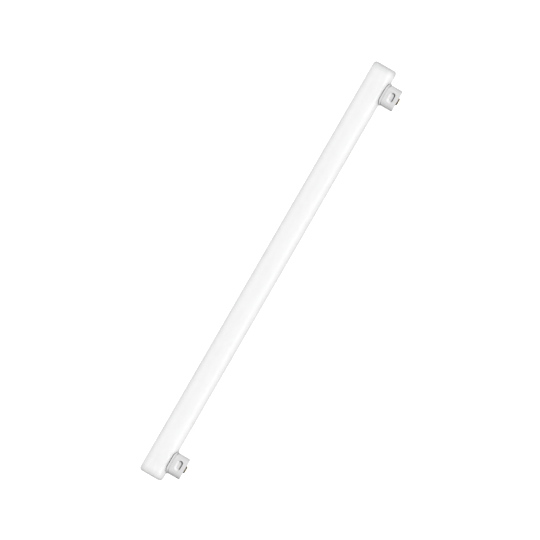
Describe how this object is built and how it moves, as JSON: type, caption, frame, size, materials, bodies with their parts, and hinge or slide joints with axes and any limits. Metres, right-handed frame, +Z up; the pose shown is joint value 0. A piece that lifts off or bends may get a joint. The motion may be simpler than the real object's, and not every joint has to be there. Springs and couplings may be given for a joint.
{
  "type": "tubular light bulb",
  "caption": "Straight opal glass tube lamp with side peg caps near its ends, each bonded on and carrying a brass contact button, for holders mounted in line.",
  "frame": {"origin": "middle of the footprint, on the table that the lamp lies on", "axes": "+X along the tube towards its longer overhang, caps towards -Y and dipping to the table, +Z up"},
  "size_m": [0.5, 0.0436, 0.027],
  "materials": {
    "opal_glass": "opal white, smooth",
    "adhesive": "dark grey silicone",
    "cap_plastic": "moulded, satin",
    "contact_brass": "turned, dulled",
    "lead_metal": "tinned"
  },
  "bodies": {
    "root": {"glass_tube": "opal_glass", "right_adhesive_bed": "adhesive", "right_cap": "cap_plastic", "right_contact": "contact_brass", "right_lead": "lead_metal", "left_adhesive_bed": "adhesive", "left_cap": "cap_plastic", "left_contact": "contact_brass", "left_lead": "lead_metal"}
  },
  "joints": []
}
